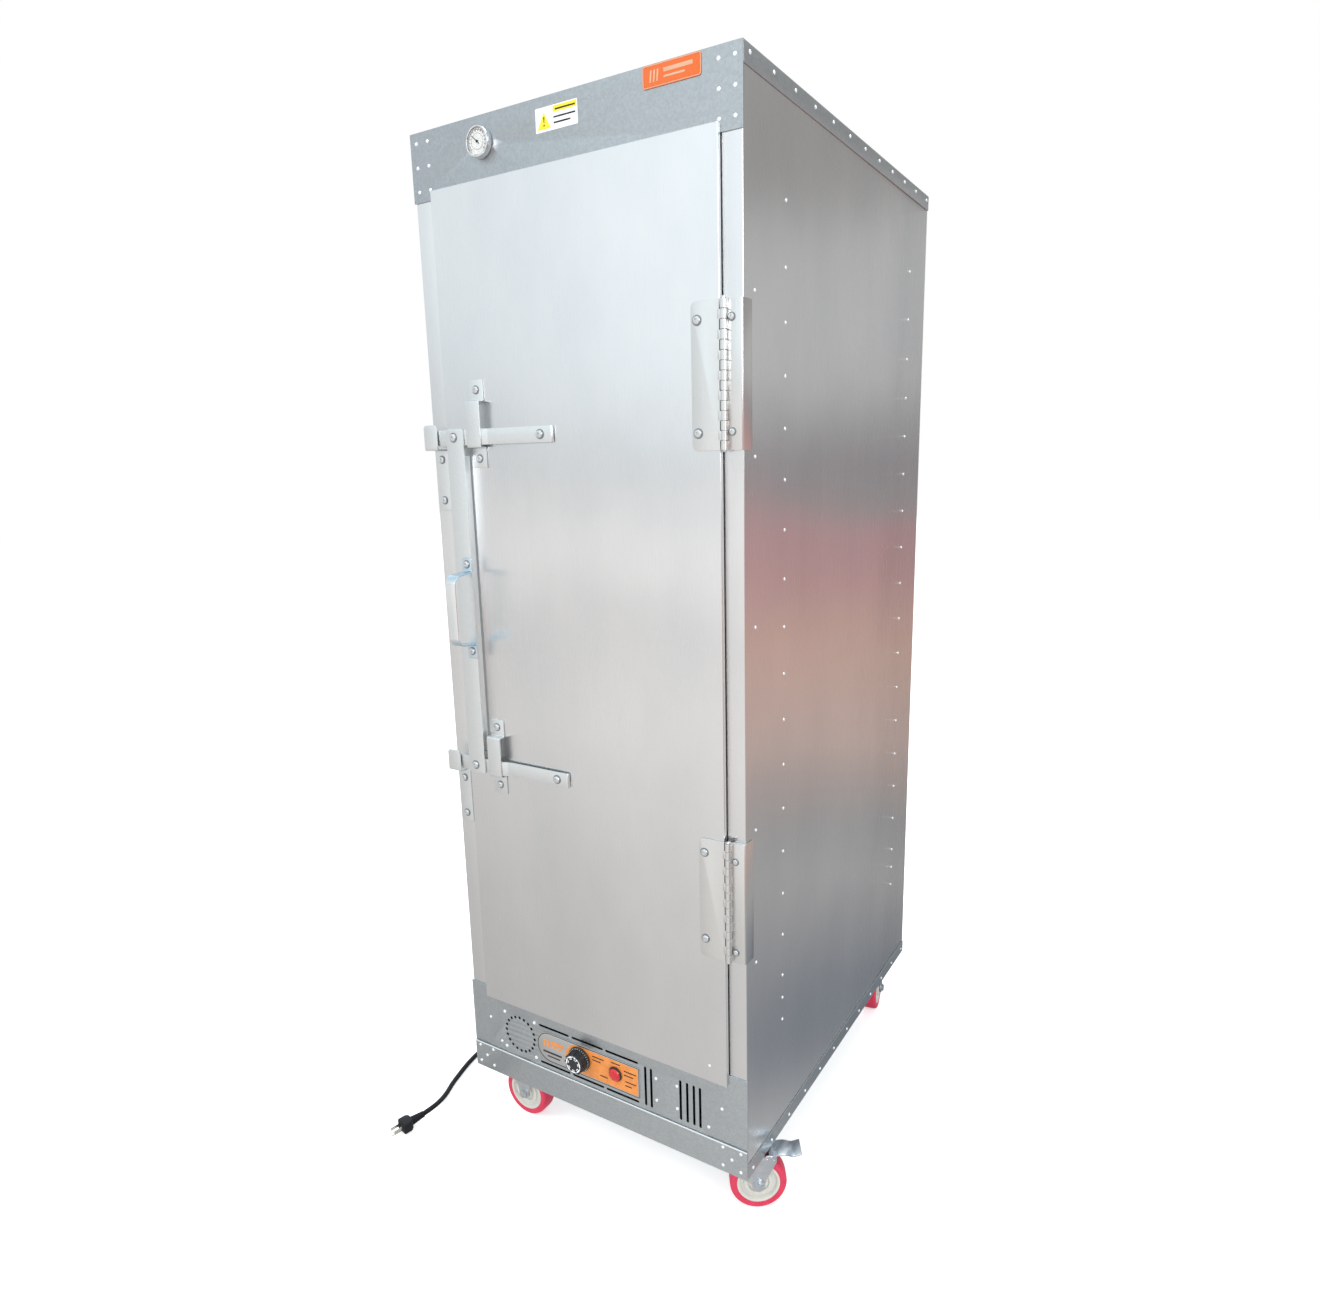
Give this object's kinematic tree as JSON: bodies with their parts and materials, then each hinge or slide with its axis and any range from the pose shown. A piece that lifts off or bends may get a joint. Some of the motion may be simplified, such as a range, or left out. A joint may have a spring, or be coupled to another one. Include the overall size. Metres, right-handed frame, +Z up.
{
  "type": "proofing cabinet",
  "caption": "Mobile upright proofing cabinet with a hinged door, gravity lift latch, pan slides, heat and humidity base, and swivel casters.",
  "frame": {"origin": "on the floor under the centre of the cabinet's outline, measured without the free cord", "axes": "+Z up, -Y towards the person who opens the door, +X to that person's right"},
  "size_m": [0.7984, 1.0692, 1.81],
  "materials": {
    "aluminium_sheet": "mill-finish rolled sheet, satin",
    "galvanised_sheet": "hot-dip galvanised, fine spangle",
    "zinc_plate": "bright blue zinc plating",
    "steel": "bright",
    "black_plastic": "semi-matt moulded",
    "orange_enamel": "screen-printed gloss",
    "red_lens": "clear moulded",
    "gasket_rubber": "matt extruded",
    "red_tread": "cast polyurethane",
    "hub_plastic": "moulded",
    "white_dial": "gloss enamel",
    "chrome_trim": "polished",
    "clear_cover": "clear",
    "label_film": "printed film",
    "rivet_aluminium": "bright headed",
    "cord_rubber": "matt jacket",
    "blade_brass": "nickel plated"
  },
  "bodies": {
    "cabinet": {"left_side_panel": "aluminium_sheet", "right_side_panel": "aluminium_sheet", "back_panel": "aluminium_sheet", "left_slide_rack": "aluminium_sheet", "right_slide_rack": "aluminium_sheet", "upper_hinge_frame_leaf": "aluminium_sheet", "lower_hinge_frame_leaf": "aluminium_sheet", "top_panel": "galvanised_sheet", "base_frame": "galvanised_sheet", "header_panel": "galvanised_sheet", "bottom_rail": "galvanised_sheet", "lower_fascia": "galvanised_sheet", "compartment_deck": "galvanised_sheet", "upper_catch": "galvanised_sheet", "lower_catch": "galvanised_sheet", "front_left_caster_plate": "zinc_plate", "front_right_caster_plate": "zinc_plate", "rear_left_caster_plate": "zinc_plate", "rear_right_caster_plate": "zinc_plate", "upper_hinge_pin": "steel", "lower_hinge_pin": "steel", "heating_element": "steel", "thermostat": "black_plastic", "indicator_light": "black_plastic", "fan_housing": "black_plastic", "cord_gland": "black_plastic", "control_plate": "orange_enamel", "name_badge": "orange_enamel", "indicator_lens": "red_lens", "thermometer": "white_dial", "power_cord": "cord_rubber", "plug": "cord_rubber"},
    "door": {"door_panel": "aluminium_sheet", "door_liner": "aluminium_sheet", "door_gasket": "gasket_rubber", "upper_hinge_door_leaf": "aluminium_sheet", "lower_hinge_door_leaf": "aluminium_sheet", "upper_guide_bracket": "galvanised_sheet", "lower_guide_bracket": "galvanised_sheet", "upper_pivot_bolt": "zinc_plate", "lower_pivot_bolt": "zinc_plate"},
    "upper_arm": {"upper_latch_arm": "galvanised_sheet"},
    "lift_bar": {"lift_bar": "galvanised_sheet", "pull_handle": "zinc_plate"},
    "lower_arm": {"lower_latch_arm": "galvanised_sheet"},
    "knob": {"thermostat_knob": "black_plastic"},
    "fan_rotor": {"fan_rotor": "black_plastic"},
    "water_pan": {"water_pan": "steel"},
    "front_left_fork": {"front_left_caster_fork": "zinc_plate"},
    "front_left_wheel": {"front_left_wheel": "red_tread"},
    "front_right_fork": {"front_right_caster_fork": "zinc_plate"},
    "front_right_wheel": {"front_right_wheel": "red_tread"},
    "rear_left_fork": {"rear_left_caster_fork": "zinc_plate"},
    "rear_left_wheel": {"rear_left_wheel": "red_tread"},
    "rear_right_fork": {"rear_right_caster_fork": "zinc_plate"},
    "rear_right_wheel": {"rear_right_wheel": "red_tread"},
    "front_right_pedal": {"front_right_brake_pedal": "zinc_plate"},
    "rear_left_pedal": {"rear_left_brake_pedal": "zinc_plate"}
  },
  "joints": [
    {"name": "door_hinge", "type": "hinge", "parent": "cabinet", "child": "door", "pos_m": [0.2775, -0.407, 1.01], "axis": [0, 0, 1], "range_deg": [0, 180]},
    {"name": "latch_lift", "type": "hinge", "parent": "door", "child": "upper_arm", "pos_m": [-0.05, -0.413, 1.33], "axis": [0, 1, 0], "range_deg": [0, 15]},
    {"name": "lift_bar_link", "type": "hinge", "parent": "upper_arm", "child": "lift_bar", "pos_m": [-0.23, -0.415, 1.33], "axis": [0, 1, 0], "range_deg": [-15, 0]},
    {"name": "lower_arm_pivot", "type": "hinge", "parent": "door", "child": "lower_arm", "pos_m": [-0.05, -0.413, 0.758], "axis": [0, 1, 0], "range_deg": [0, 15]},
    {"name": "thermostat_turn", "type": "hinge", "parent": "cabinet", "child": "knob", "pos_m": [-0.0405, -0.405, 0.216], "axis": [0, 1, 0], "range_deg": [0, 270]},
    {"name": "fan_spin", "type": "hinge", "parent": "cabinet", "child": "fan_rotor", "pos_m": [-0.185, -0.385, 0.215], "axis": [0, 1, 0], "continuous": true},
    {"name": "water_pan_lift", "type": "slide", "parent": "cabinet", "child": "water_pan", "axis": [0, 0, 1], "range_m": [0, 0.06]},
    {"name": "front_left_swivel", "type": "hinge", "parent": "cabinet", "child": "front_left_fork", "pos_m": [-0.254, -0.341, 0.11], "axis": [0, 0, 1], "continuous": true},
    {"name": "front_left_roll", "type": "hinge", "parent": "front_left_fork", "child": "front_left_wheel", "pos_m": [-0.218, -0.341, 0.05025], "axis": [0, 1, 0], "continuous": true},
    {"name": "front_right_swivel", "type": "hinge", "parent": "cabinet", "child": "front_right_fork", "pos_m": [0.254, -0.341, 0.11], "axis": [0, 0, 1], "continuous": true},
    {"name": "front_right_roll", "type": "hinge", "parent": "front_right_fork", "child": "front_right_wheel", "pos_m": [0.28419, -0.32139, 0.05025], "axis": [-0.5446, 0.8387, 0], "continuous": true},
    {"name": "front_right_brake", "type": "hinge", "parent": "front_right_fork", "child": "front_right_pedal", "pos_m": [0.30264, -0.30941, 0.104], "axis": [-0.5446, 0.8387, 0], "range_deg": [0, 12]},
    {"name": "rear_left_swivel", "type": "hinge", "parent": "cabinet", "child": "rear_left_fork", "pos_m": [-0.254, 0.376, 0.11], "axis": [0, 0, 1], "continuous": true},
    {"name": "rear_left_roll", "type": "hinge", "parent": "rear_left_fork", "child": "rear_left_wheel", "pos_m": [-0.28419, 0.35639, 0.05025], "axis": [0.5446, -0.8387, 0], "continuous": true},
    {"name": "rear_left_brake", "type": "hinge", "parent": "rear_left_fork", "child": "rear_left_pedal", "pos_m": [-0.30264, 0.34441, 0.104], "axis": [0.5446, -0.8387, 0], "range_deg": [0, 12]},
    {"name": "rear_right_swivel", "type": "hinge", "parent": "cabinet", "child": "rear_right_fork", "pos_m": [0.254, 0.376, 0.11], "axis": [0, 0, 1], "continuous": true},
    {"name": "rear_right_roll", "type": "hinge", "parent": "rear_right_fork", "child": "rear_right_wheel", "pos_m": [0.26025, 0.34055, 0.05025], "axis": [0.9848, 0.1736, 0], "continuous": true}
  ],
  "couplings": [
    {"joint": "lift_bar_link", "follows": "latch_lift", "ratio": -1},
    {"joint": "lower_arm_pivot", "follows": "latch_lift", "ratio": 1}
  ]
}
